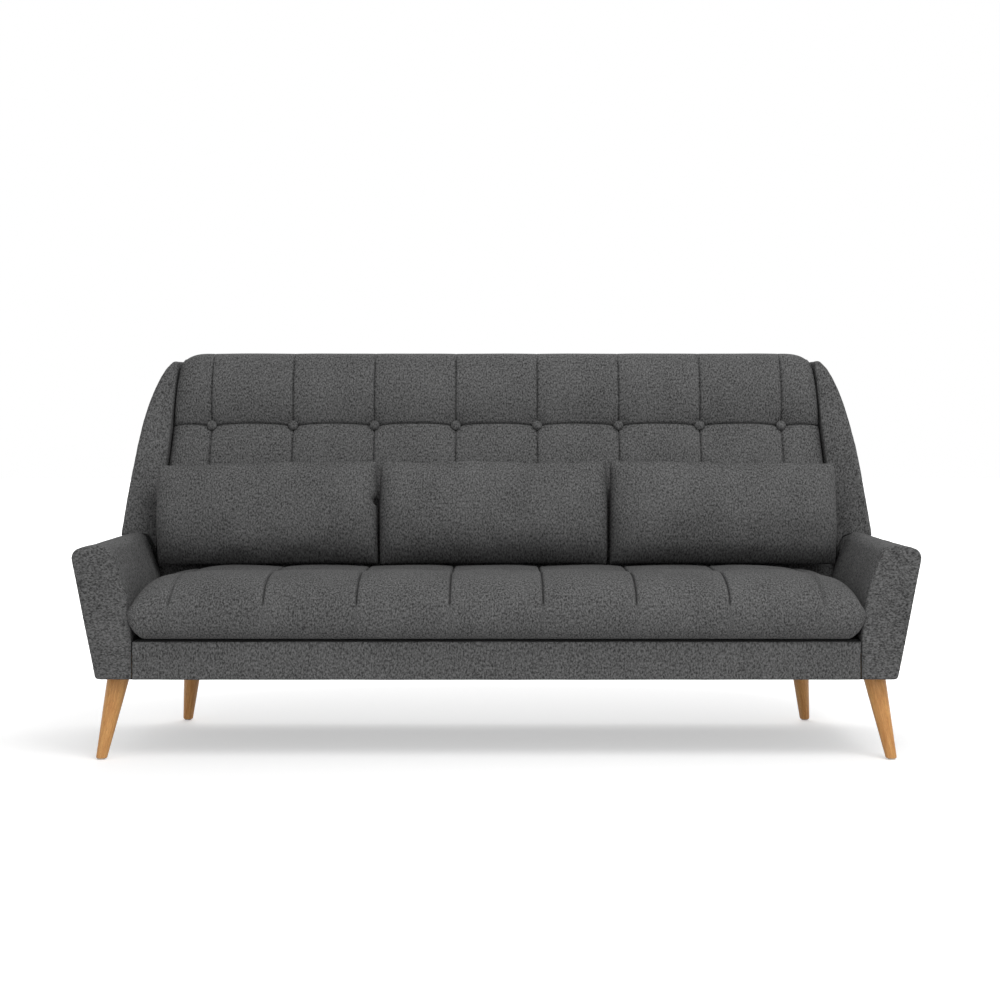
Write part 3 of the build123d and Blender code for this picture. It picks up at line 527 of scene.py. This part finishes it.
def make_back_pad():
    """A quilted sheet drawn over the back, closed behind by a narrow rim and a flat face."""
    places, gaps, shares = column_lines()
    # Columns across: the quilted middle and an end on either side
    end = pad_end_shares
    none = np.zeros(len(end))
    x_middle = np.concatenate([none, places, none])
    side = np.concatenate([-end[::-1], np.zeros(len(places)), end])
    out = np.abs(side)
    puff = np.concatenate([none, 1 - np.abs(2 * shares - 1) ** pad_puff_power, none])
    end_puff = pad_end_puff * np.sin(pi * np.minimum(out / pad_end_puff_reach, 1)) ** pad_end_puff_power
    puff = np.where(out > 0, end_puff, puff)
    gap = np.concatenate([end[::-1] * quilt_margin, gaps, end * quilt_margin])
    arch = np.concatenate([none, 1 - (2 * shares - 1) ** 2, none])
    end_arch = pad_end_arch * np.sin(pi / 2 * np.minimum(out * pad_end_arch_rate, 1))
    arch = np.where(out > 0, end_arch, arch)
    thin = np.where(out > 0, pad_edge_share + (1 - pad_edge_share) * np.sqrt(1 - out ** pad_thin_power), 1)
    top = pad_height - pad_corner_drop * (1 - np.sqrt(1 - out ** pad_corner_power))
    crest = top - pad_crest_drop
    cross = button_height + cross_rise * arch

    def level(pair):
        """How far the pad stands out at each column, between its seams and its puffs."""
        return (pair[0] + (pair[1] - pair[0]) * puff) * thin

    # Rows up the slope: to the cross seam, from there to the crest, then over the top
    near = np.linspace(0, 1, pad_near_rows) ** pad_near_power
    lower_far = np.linspace(0, 1 - pad_lower_near, pad_lower_rows)[:-1]
    upper_far = np.linspace(pad_upper_near, 1, pad_upper_rows)[1:]
    lower_t = np.concatenate([lower_far, 1 - pad_lower_near * near[::-1]])
    upper_t = np.concatenate([pad_upper_near * near[1:], upper_far])
    v_rows, w_rows, seam_gap = [], [], []
    for t in lower_t:
        v_rows.append(t * cross)
        w_rows.append(swelling(pad_toe * thin, level(pad_lower), level(pad_cross), t))
        seam_gap.append((1 - t) * cross)
    for t in upper_t:
        v_rows.append(cross + t * (crest - cross))
        w_rows.append(swelling(level(pad_cross), level(pad_upper), level(pad_crest), t))
        seam_gap.append(t * (crest - cross))
    slope = (3 * level(pad_crest) + level(pad_cross) - 4 * level(pad_upper)) / (crest - cross)
    lip = pad_lip * thin
    w0 = level(pad_crest)
    reach = pad_crest_handle * pad_crest_drop
    roll = curve(np.stack([crest, w0]), np.stack([crest + reach, w0 + slope * reach]),
                 np.stack([top, lip + pad_lip_handle * (w0 - lip)]), np.stack([top, lip]),
                 np.linspace(0, 1, pad_roll_rows)[1:])
    for v_row, w_row in roll:
        v_rows.append(v_row)
        w_rows.append(w_row)
        seam_gap.append(v_row - cross)
    v = np.array(v_rows)
    w = np.array(w_rows)
    seam_gap = np.array(seam_gap)
    # Flared sides, sewn seams, dimples under the buttons and a little unevenness
    half = pad_top_half_width + pad_side_flare * (pad_height - v)
    x = np.where(out > 0, np.sign(side) * (outer_seam_x + out * (half - outer_seam_x)), x_middle)
    fade = np.clip((top - v) / pad_crest_drop, pad_seam_fade, 1)
    w = w - crease_depth * np.exp(-gap / crease_width) * fade
    w = w - crease_depth * np.exp(-np.abs(seam_gap) / crease_width)
    for seam in seam_places:
        far = np.hypot(x - seam, v - button_height)
        w = w - dimple_depth * np.exp(-(far / dimple_radius) ** 2)
    flat = np.stack([x, v, np.zeros_like(x)], axis=-1).reshape(-1, 3)
    uneven = pad_uneven * unevenness(flat, pad_seed, pad_uneven_size).reshape(w.shape)
    w = np.maximum(w + uneven * np.clip(w / pad_uneven_depth, 0, 1), pad_least)
    # Points, and the cloth's coordinates along the surface
    rows, columns = v.shape
    front = on_slope(x, v, w).reshape(-1, 3)
    steps = np.hypot(np.diff(v, axis=0), np.diff(w, axis=0))
    length = np.cumsum(np.vstack([np.zeros((1, columns)), steps]), axis=0)
    weave = np.stack([x, length, np.zeros_like(x)], axis=-1).reshape(-1, 3)
    faces = grid_faces(rows, columns)
    # The sheet's edge once round, with the rim and the flat face behind it
    edge = list(range(columns)) + [columns * r + columns - 1 for r in range(1, rows)]
    edge += [columns * (rows - 1) + c for c in range(columns - 2, -1, -1)]
    edge += [columns * r for r in range(rows - 2, 0, -1)]
    rim = on_slope(x, v, np.full_like(w, pad_rim)).reshape(-1, 3)[edge]
    first = len(front)
    for i in range(len(edge)):
        j = (i + 1) % len(edge)
        faces.append((edge[j], edge[i], first + i, first + j))
    faces.append(tuple(first + i for i in range(len(edge) - 1, -1, -1)))
    rim_weave = weave[edge] + (0, 0, pad_rim_weave)
    return new_piece("back_pad_cloth", np.vstack([front, rim]), faces, np.vstack([weave, rim_weave]))


dress(make_back_pad(), "frame", charcoal, ["inside_back_pad"])


def make_buttons():
    """Covered buttons: low domes drawn down into the crossings of the seams."""
    points, faces, weave = [], [], []
    last = button_rings - 1
    for number, seam in enumerate(seam_places):
        first = len(points)
        # Rings from the top of the dome outward, the last one tucked under
        for ring in range(button_rings):
            angle = pi / 2 * ring / last * button_wrap
            radius = button_radius * (sin(angle) if ring < last else button_tuck)
            w = pad_cross[0] - button_sink + button_rise * cos(angle)
            for s in range(button_sides):
                turn = 2 * pi * s / button_sides
                pucker = 1 + button_pucker * sin(button_folds * turn + number) * (ring / button_rings)
                x = seam + radius * pucker * cos(turn)
                v = button_height + radius * pucker * sin(turn)
                points.append(on_slope(np.array(x), np.array(v), np.array(w)))
                weave.append((x + button_weave_step * number, v, 0))
            if ring:
                a, b = first + (ring - 1) * button_sides, first + ring * button_sides
                for s in range(button_sides):
                    t = (s + 1) % button_sides
                    faces.append((a + s, b + s, b + t, a + t))
        faces.append(tuple(b + s for s in reversed(range(button_sides))))
    return new_piece("back_buttons_covered", points, faces, weave)


dress(make_buttons(), "frame", charcoal, ["back_buttons"])


# Quilted seat cushion

seat_low, seat_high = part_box("seat_cushion_cover")


def seat_weights(part, t):
    """How much of the tufting and of the stitching a part of the profile has along its run, from 0 to 1."""
    none, full = 0 * t, 0 * t + 1
    tuft_front = np.clip((t - tuft_start) / tuft_run, 0, 1)
    stitch_front = np.clip((t - stitch_start) / stitch_run, 0, 1)
    return {"under": (none, none), "front": (tuft_front, stitch_front), "top": (full, full),
            "rear": (1 - t, full), "behind": (none, none)}[part]


def seat_profile():
    """Side profile from the rear bottom edge forward, up and back: y from the front, z above the deck."""
    depth = seat_high.y - seat_low.y
    heel = (depth - seat_heel, 0)
    rear = (depth, seat_rear_height)
    runs, tufted, stitched = [], [], []
    # Part, start, the curve's two handles, end, number of rows and how they crowd
    for part, begin, leave, arrive, end, rows, power in (
            ("under", heel, (0.3, 0), (0.2, 0), seat_foot, 14, 1),
            ("under", seat_foot, (0.020, 0), (0, 0.017), seat_nose, 12, 1),
            ("front", seat_nose, (0, 0.122), (0.085, seat_crown[1]), seat_crown, 36, 1),
            ("top", seat_crown, (0.235, seat_crown[1]), (0.268, 0.150), seat_cross, 20, 0.8),
            ("top", seat_cross, (0.300, 0.150), (0.345, 0.151), seat_rear_crown, 20, 1.25),
            ("rear", seat_rear_crown, (0.47, 0.149), (depth - 0.002, 0.148), rear, 18, 1),
            ("behind", rear, (depth, 0.05), (depth, 0.01), heel, 10, 1)):
        steps = np.linspace(0, 1, rows)[1 if runs else 0:]
        runs.append(curve(begin, leave, arrive, end, steps ** power))
        tuft, stitch = seat_weights(part, np.linspace(0, 1, len(steps)))
        tufted.append(tuft)
        stitched.append(stitch)
    profile = np.vstack(runs)
    weight = np.concatenate(tufted)
    weight = weight * weight * (3 - 2 * weight)
    stitched = np.concatenate(stitched)
    # Outward directions, and the distance to the cross seam
    ahead = np.roll(profile, -1, axis=0) - np.roll(profile, 1, axis=0)
    normal = np.stack([ahead[:, 1], -ahead[:, 0]], axis=1)
    normal /= -np.linalg.norm(normal, axis=1)[:, None]
    far = np.linalg.norm(profile - np.array(seat_cross), axis=1)
    cross_gap = np.where(profile[:, 1] > seat_cross_above, far, 1.0)
    return profile, normal, weight, stitched, cross_gap


def past(place, edge, reach):
    """How far a place lies past an edge, toward either end of the seat, as a share of a reach."""
    return max(0.0, (abs(place) - edge) / reach)


def make_seat():
    """The profile carried from end to end, drawn in at the seams and rounded down at the ends."""
    places, gaps, shares = column_lines()
    # Columns across: the quilted middle and, past the outer seams, the rounded ends
    tip = inner_half_width - seat_side_gap
    start = tip - seat_end_reach
    first_angle = np.arcsin((outer_seam_x - start) / seat_end_reach)
    angles = np.linspace(first_angle, pi / 2 * seat_end_stop, seat_end_rows)[1:]
    ends = start + seat_end_reach * np.sin(angles)
    beyond = np.abs(np.concatenate([-ends[::-1], 0 * places, ends])) > 0
    x = np.concatenate([-ends[::-1], places, ends])
    gap = np.concatenate([ends[::-1] - outer_seam_x, gaps, ends - outer_seam_x])
    middle_puff = np.concatenate([0 * ends, 1 - np.abs(2 * shares - 1) ** seat_puff_power, 0 * ends])
    end_puff = np.clip(gap / seat_end_puff_width, 0, 1) ** seat_end_puff_power
    puff = np.where(beyond, end_puff, middle_puff)
    profile, normal, weight, stitched, cross_gap = seat_profile()
    depth = seat_high.y - seat_low.y
    # Sections: drawn in at the seams, lower toward the ends and set in at the corners
    points = []
    for i, place in enumerate(x):
        sink = seat_tuft * weight * (1 - puff[i])
        sink = sink + seat_crease_depth * stitched * np.exp(-gap[i] / crease_width)
        inside = max(0.0, 1 - gap[i] / seat_cross_fade) if beyond[i] else 1
        sink = sink + crease_depth * np.exp(-cross_gap / crease_width) * inside
        section = profile - normal * sink[:, None]
        share = past(place, start, seat_end_reach)
        squash = (1 - share ** seat_end_power) ** (1 / seat_end_power)
        low_squash = (1 - past(place, tip - seat_bottom_corner, seat_bottom_corner) ** 2) ** 0.5
        height = section[:, 1] - seat_equator
        rise = height * np.where(height > 0, squash, low_squash)
        set_in = seat_corner * (1 - (1 - past(place, tip - seat_corner, seat_corner) ** 2) ** 0.5)
        y = seat_low.y + section[:, 0] + set_in * np.clip(1 - section[:, 0] / depth, 0, 1)
        front = np.clip(1 - (y - seat_low.y) / seat_ear_depth, 0, 1)
        ear = seat_ear * front ** 0.5 * share ** seat_ear_power
        bulge = seat_end_bulge * share ** 2 * np.clip(1 - (rise / seat_bulge_height) ** 2, 0, 1)
        across = place + np.sign(place) * (ear + bulge)
        points.append(np.stack([across, y, seat_low.z + seat_equator + rise], axis=1))
    points = np.array(points)
    # The cloth's coordinates: along the crest, and down round the profile
    down = path_length(profile)
    along = path_length(points[:, profile[:, 1].argmax()])
    cloth_places = along - along[-1] / 2
    weave = [np.stack([0 * down + place, -down, 0 * down], axis=1) for place in cloth_places]
    flat = points.reshape(-1, 3)
    lift = seat_uneven * unevenness(flat, seat_seed, seat_uneven_size) - seat_settle
    flat[:, 2] += lift * np.tile(weight, len(x))
    # Skin from section to section, with a face on each end
    rows, columns = len(x), len(profile)
    faces = []
    for r in range(rows - 1):
        for c in range(columns):
            d = (c + 1) % columns
            faces.append((r * columns + c, r * columns + d, (r + 1) * columns + d, (r + 1) * columns + c))
    faces.append(tuple(range(columns - 1, -1, -1)))
    faces.append(tuple((rows - 1) * columns + c for c in range(columns)))
    return new_piece("seat_cushion_cloth", flat, faces, np.array(weave).reshape(-1, 3))


dress(make_seat(), "seat_cushion", charcoal, ["seat_cushion_cover"])


# Loose lumbar cushions

def make_lumbar(side, seed):
    """A plump cushion of two sewn sheets, blown up a little more, then set leaning on the back."""
    # Outline of both sheets, from -1 to 1 across (s) and up (t)
    wide, tall = lumbar_cells
    s, t = np.meshgrid(np.linspace(-1, 1, wide + 1), np.linspace(-1, 1, tall + 1))
    corner = 1 - lumbar_corner_cut * np.abs(s) ** lumbar_corner_power * np.abs(t) ** lumbar_corner_power
    x = s * corner * lumbar_widths[side] / 2 * (1 + lumbar_side_bow * (1 - t ** 2))
    y = t * corner * lumbar_height / 2 * (1 + lumbar_top_bow * (1 - s ** 2))
    # Fullness of the two sheets on either side of their seam
    plump = (1 - np.abs(s) ** lumbar_end_power) ** lumbar_round
    rounding = np.where(t < 0, lumbar_foot_round, lumbar_round)
    plump = plump * (1 - np.abs(t) ** lumbar_crown_power) ** rounding
    half = lumbar_half_share * lumbar_thickness
    seam = -lumbar_foot_set_back * np.clip(-t, 0, 1) ** lumbar_foot_power
    flat = np.stack([x, y, 0 * x], -1).reshape(-1, 3)
    fold = lumbar_fold * unevenness(flat, seed, lumbar_fold_size).reshape(x.shape)
    front = np.stack([x, y, seam + (half - seam) * plump * (1 + fold)], -1).reshape(-1, 3)
    back = np.stack([x, y, seam - (half + seam) * plump * (1 - fold)], -1).reshape(-1, 3)
    # The sheets share the points of the seam round their edge
    index = np.arange(len(front)).reshape(tall + 1, wide + 1)
    inner = np.zeros_like(index, bool)
    inner[1:-1, 1:-1] = True
    behind = index.copy()
    behind[inner] = len(front) + np.arange(inner.sum())
    faces = grid_faces(tall + 1, wide + 1)
    for r in range(tall):
        for c in range(wide):
            faces.append((behind[r, c], behind[r + 1, c], behind[r + 1, c + 1], behind[r, c + 1]))
    points = np.vstack([front, back[inner.ravel()]])
    across = np.concatenate([s.ravel(), s[inner]])
    up = np.concatenate([t.ravel(), t[inner]])
    weave = np.stack([points[:, 0] + seed, points[:, 1], 0 * across], axis=1)
    piece = new_piece(side + "_lumbar_cloth", points, faces, weave)
    inflate(piece, air_pressure, air_frames, air_limit)
    # Back to the measured size, then slack along the seams
    shape = points_of(piece.data)
    low, high = shape.min(axis=0), shape.max(axis=0)
    size = np.array([lumbar_widths[side], lumbar_height, lumbar_thickness])
    shape = (shape - (low + high) / 2) * size / (high - low)
    shape[:, :2] += lumbar_shifts[side]
    wave_place = np.stack([across, seam_wave_lean * up, 0 * up], axis=1)
    wave = unevenness(wave_place, seed + seam_wave_seed, seam_wave_length)
    shape[:, 1] += seam_waves[side] * wave * np.clip(up, 0, 1) ** seam_wave_power
    shape[:, 0] += end_wave * wave * np.abs(across) ** end_wave_power
    if side == "left":
        near = np.exp(-((up - pinch_height) / pinch_half_height) ** 2 - (1 - across) / pinch_reach)
        shape[:, 0] -= pinch_depth * near
    lean_on_back(piece, shape, side + "_lumbar_cover", radians(lumbar_tilts[side]))
    subdivide = piece.modifiers.new("Subdivision", "SUBSURF")
    subdivide.levels = 1
    subdivide.render_levels = 1
    return piece


def lean_on_back(piece, shape, node, tilt):
    """Set a shape drawn about its own middle where its node leans, turned a little in the back's plane."""
    across = shape[:, 0] * cos(tilt) - shape[:, 1] * sin(tilt)
    up = shape[:, 0] * sin(tilt) + shape[:, 1] * cos(tilt)
    lo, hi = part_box(node)
    middle = (lo + hi) / 2
    y = middle.y + up * sin(recline) - shape[:, 2] * cos(recline)
    z = middle.z + up * cos(recline) + shape[:, 2] * sin(recline)
    z = np.maximum(z, lo.z + seat_clearance)
    set_points(piece.data, np.stack([middle.x + across, y, z], axis=1))


for number, side in enumerate(("left", "middle", "right")):
    cushion = make_lumbar(side, lumbar_seed + number)
    dress(cushion, side + "_lumbar_cushion", charcoal, [side + "_lumbar_cover"])


# Upholstery drawn over the frame: each piece follows its node, softened and a little uneven

def copy_of(node, name):
    """A piece with its own copy of a node's mesh."""
    mesh = frame["nodes"][node].data.copy()
    piece = bpy.data.objects.new(name, mesh)
    bpy.context.scene.collection.objects.link(piece)
    return piece


def apply_modifiers(piece):
    """Keep what a piece's modifiers make as its mesh."""
    old = piece.data
    piece.data = bpy.data.meshes.new_from_object(piece.evaluated_get(bpy.context.evaluated_depsgraph_get()))
    piece.modifiers.clear()
    bpy.data.meshes.remove(old)


def finish_cloth(piece, weave_axes, uneven, seed):
    """Unevenness along the surface, smooth shading and the cloth's coordinates."""
    mesh = piece.data
    points = points_of(mesh)
    normals = np.zeros(len(mesh.vertices) * 3)
    mesh.vertices.foreach_get("normal", normals)
    rise = uneven * (unevenness(points, seed, cloth_wave) - cloth_sink)
    keep_weave(mesh, points[:, weave_axes])
    set_points(mesh, points + normals.reshape(-1, 3) * rise[:, None])
    mesh.polygons.foreach_set("use_smooth", np.ones(len(mesh.polygons), bool))


def softened(node, name, voxel, passes, weave_axes, uneven=0.0008, seed=5):
    """A copy of a curved node, evenly meshed, its edges eased as padding eases them."""
    piece = copy_of(node, name)
    remesh = piece.modifiers.new("Remesh", "REMESH")
    remesh.mode = "VOXEL"
    remesh.voxel_size = voxel
    ease = piece.modifiers.new("Smooth", "SMOOTH")
    ease.iterations = passes
    apply_modifiers(piece)
    finish_cloth(piece, weave_axes, uneven, seed)
    return piece


def tailored(node, name, edge, cell, weave_axes, uneven=0.0006, seed=7):
    """A copy of a flat node with rolled edges, divided so that it can lie a little uneven."""
    piece = copy_of(node, name)
    weld = piece.modifiers.new("Weld", "WELD")
    weld.merge_threshold = weld_gap
    bevel = piece.modifiers.new("Bevel", "BEVEL")
    bevel.width = edge
    bevel.segments = edge_segments
    bevel.limit_method = "ANGLE"
    bevel.angle_limit = edge_angle
    apply_modifiers(piece)
    divide(piece.data, cell)
    finish_cloth(piece, weave_axes, uneven, seed)
    return piece


def divide(mesh, cell):
    """Cut a mesh along even planes across each axis."""
    points = points_of(mesh)
    low, high = points.min(axis=0), points.max(axis=0)
    shape = bmesh.new()
    shape.from_mesh(mesh)
    for axis in range(3):
        across = [0, 0, 0]
        across[axis] = 1
        for place in np.arange(low[axis] + cell, high[axis] - cell / 4, cell):
            spot = [0, 0, 0]
            spot[axis] = place
            parts = list(shape.verts) + list(shape.edges) + list(shape.faces)
            bmesh.ops.bisect_plane(shape, geom=parts, plane_co=spot, plane_no=across)
    shape.to_mesh(mesh)
    shape.free()


def raise_arm(piece):
    """The arm's padded top swells a little toward the wing."""
    points = points_of(piece.data)
    low, high = points.min(axis=0), points.max(axis=0)
    along = (points[:, 1] - low[1]) / (high[1] - low[1])
    across = (np.abs(points[:, 0]) - arm_crown_x) / arm_crown_half_width
    top = np.clip((points[:, 2] - high[2] + arm_crown_depth) / arm_crown_depth, 0, 1)
    points[:, 2] += arm_crown_rise * along ** 2 * np.clip(1 - across ** 2, 0, 1) * top
    set_points(piece.data, points)


def raise_apron(piece):
    """The apron's cloth turns over its top edge close under the seat."""
    points = points_of(piece.data)
    points[:, 2] += apron_rise * (points[:, 2] > points[:, 2].max() - apron_hem)
    set_points(piece.data, points)


# Which of a point's coordinates run across the cloth, along it and through it
upright = [0, 2, 1]
sideways = [2, 0, 1]
deep = [1, 2, 0]
for number, side in enumerate(("left", "right")):
    for part, voxel, passes, axes, fill in (
            ("arm_cover", 0.005, 3, deep, 0.4),
            ("arm_front_panel", 0.004, 6, sideways, 0.4),
            ("wing", 0.004, 4, upright, 0.6)):
        node = side + "_" + part
        piece = softened(node, node + "_cloth", voxel, passes, axes, seed=5 + number)
        if part == "arm_cover":
            raise_arm(piece)
        dress(piece, "frame", charcoal, [node])
for node, edge, axes, fill in (
        ("left_wing_base", 0.004, deep, 0.3), ("right_wing_base", 0.004, deep, 0.3),
        ("front_apron", 0.002, upright, 0.2), ("back_top_border", 0.005, upright, 0.4),
        ("outside_back_panel", 0.004, upright, 0.2)):
    piece = tailored(node, node + "_cloth", edge, panel_cell, axes)
    if node == "front_apron":
        raise_apron(piece)
    dress(piece, "frame", charcoal, [node])


# Inside the cushions and under the seat

# Painted shade: the deck cloth is dark, and is made near black beyond its own colour so that it stands for
# the deep shadow in the gap under the seat's front
deck_cloth = webbing_cloth("deck_cloth", (0.003, 0.003, 0.003), (0.008, 0.008, 0.008), 0.0012)
deck = tailored("seat_deck_pad", "seat_deck_cloth", edge=0.006, cell=0.06, weave_axes=upright, uneven=0.001)
dress(deck, "frame", deck_cloth, ["seat_deck_pad"])
core = tailored("seat_cushion_core", "seat_core_foam", edge=0.009, cell=0.08, weave_axes=upright)
dress(core, "seat_cushion", foam, ["seat_cushion_core"])
for side in ("left", "middle", "right"):
    node = side + "_lumbar_insert"
    filling = tailored(node, side + "_lumbar_filling", edge=0.012, cell=0.06, weave_axes=upright)
    dress(filling, side + "_lumbar_cushion", foam, [node])


# Dust cover, cut to one piece and stretched under the rails

dust_sag = 0.004
dust_cloth = webbing_cloth("dust_cloth", (0.010, 0.010, 0.011), (0.024, 0.024, 0.026), 0.0012)


def make_dust_cover():
    """A thin cloth under the base that sags a little in the middle."""
    piece = copy_of("dust_cover", "dust_cover_cloth")
    divide(piece.data, panel_cell)
    finish_cloth(piece, upright, uneven=0.0, seed=9)
    points = points_of(piece.data)
    low, high = points.min(axis=0), points.max(axis=0)
    share = (points - low) / (high - low)
    points[:, 2] -= dust_sag * np.sin(pi * share[:, 0]) * np.sin(pi * share[:, 1])
    set_points(piece.data, points)
    return piece


dust_cover = dress(make_dust_cover(), "frame", dust_cloth, ["dust_cover"])


# Frame pieces that keep their own form

def finish_node(node, material):
    """Give one of the frame's own nodes a material."""
    mesh = frame["nodes"][node].data
    mesh.materials.clear()
    mesh.materials.append(material)


oak_dark = (0.48, 0.200, 0.050)
oak_pale = (0.72, 0.380, 0.122)
leg_leans = {"front": (0.17, -0.24), "rear": (0.126, 0.22)}
for row, (outward, backward) in leg_leans.items():
    for side, sign in (("left", -1), ("right", 1)):
        node = row + "_" + side + "_leg"
        finish_node(node, wood("oak_" + node, oak_dark, oak_pale, (sign * outward, backward)))
finishes = {
    "frame_timber": wood("pine_timber", (0.50, 0.33, 0.17), (0.66, 0.48, 0.28), polish=0.6),
    "plywood": wood("birch_plywood", (0.55, 0.40, 0.24), (0.70, 0.55, 0.36), polish=0.6),
    "webbing": webbing_cloth("elastic_webbing", (0.02, 0.02, 0.022), (0.07, 0.07, 0.075), 0.002),
    "twine": plain("waxed_twine", (0.36, 0.31, 0.23), (0.5, 0.45, 0.36), 0.0008, 0.8),
    "steel": plain("zinc_steel", (0.55, 0.56, 0.57), (0.68, 0.68, 0.68), 0.0009, 0.35, metallic=1.0),
    "glide": plain("glide_plastic", (0.62, 0.60, 0.55), (0.74, 0.72, 0.68), 0.0015, 0.5),
}
for row in frame["record"]["subparts"]:
    if row["material_slot"] in finishes:
        finish_node(row["node"], finishes[row["material_slot"]])


# Studio: pale floor, soft light, camera

def seen_directly(tree):
    """1 for rays from the camera, off gloss and through glass, and 0 for the rays that carry light."""
    path = add_node(tree, "ShaderNodeLightPath")
    seen = path.outputs["Is Camera Ray"]
    for ray in ("Is Glossy Ray", "Is Transmission Ray"):
        seen = combined(tree, "MAXIMUM", seen, path.outputs[ray])
    return seen


def make_floor():
    """A pale floor that keeps the soft shadow near the sofa and is plain white away from it."""
    bpy.ops.mesh.primitive_plane_add(size=floor_size)
    floor = bpy.context.object
    floor.name = "studio_floor"
    material, tree, shader = new_material("studio_white")
    shader.inputs["Base Color"].default_value = (0.8, 0.8, 0.8, 1)
    shader.inputs["Roughness"].default_value = 0.9
    place = add_node(tree, "ShaderNodeTexCoord").outputs["Object"]
    squeezed = scaled(tree, place, glow_squeeze)
    away = add_node(tree, "ShaderNodeVectorMath", {0: squeezed}, operation="LENGTH")
    white = ranged(tree, away.outputs["Value"], glow_start, glow_end, floor_glow, 1.0)
    seen = combined(tree, "MULTIPLY", seen_directly(tree), white)
    glow = add_node(tree, "ShaderNodeEmission", {"Color": (1, 1, 1, 1), "Strength": seen})
    both = add_node(tree, "ShaderNodeAddShader", {0: shader.outputs[0], 1: glow.outputs[0]})
    tree.links.new(both.outputs[0], tree.nodes["Material Output"].inputs["Surface"])
    floor.data.materials.append(material)


def make_world(front, top, left, right):
    """White all round for the eye, with the light itself strongest from the front."""
    world = bpy.data.worlds.new("studio_world")
    bpy.context.scene.world = world
    world.use_nodes = True
    tree = world.node_tree
    place = add_node(tree, "ShaderNodeTexCoord").outputs["Generated"]
    way = add_node(tree, "ShaderNodeSeparateXYZ", {0: place})
    light = tree.nodes["Background"]
    light.inputs["Color"].default_value = (1, 1, 1, 1)
    around = ranged(tree, way.outputs["X"], -side_light, 0.0, left, top)
    around = ranged(tree, way.outputs["X"], 0.0, side_light, around, right)
    tree.links.new(ranged(tree, way.outputs["Y"], *front_light, front, around), light.inputs["Strength"])
    white = add_node(tree, "ShaderNodeBackground", {"Color": (1, 1, 1, 1), "Strength": 1.0})
    inputs = {0: seen_directly(tree), 1: light.outputs[0], 2: white.outputs[0]}
    mix = add_node(tree, "ShaderNodeMixShader", inputs)
    tree.links.new(mix.outputs[0], tree.nodes["World Output"].inputs["Surface"])


def area_light(name, place, target, size, power):
    """A rectangular lamp at a place, turned to a target."""
    data = bpy.data.lights.new(name, "AREA")
    data.shape = "RECTANGLE"
    data.size, data.size_y = size
    data.energy = power
    lamp = bpy.data.objects.new(name, data)
    bpy.context.scene.collection.objects.link(lamp)
    lamp.location = place
    lamp.rotation_euler = (Vector(target) - Vector(place)).to_track_quat("-Z", "Y").to_euler()


make_floor()
make_world(front=1.07, top=0.5, left=0.1, right=0.28)
area_light("key", place=(1.4, -2.4, 3.8), target=(0, 0, 0.5), size=(2.4, 2.0), power=66)
area_light("back", place=(0, 2.6, 3.2), target=(0, 0.4, 0), size=(3.4, 1.6), power=52)

camera_data = bpy.data.cameras.new("camera")
camera_data.lens = camera_lens
camera_data.sensor_width = camera_sensor
camera_data.shift_x, camera_data.shift_y = camera_shift
camera = bpy.data.objects.new("camera", camera_data)
bpy.context.scene.collection.objects.link(camera)
camera.location = camera_place
camera.rotation_euler = (pi / 2, 0, 0)
bpy.context.scene.camera = camera
bpy.context.scene.view_settings.view_transform = "Standard"
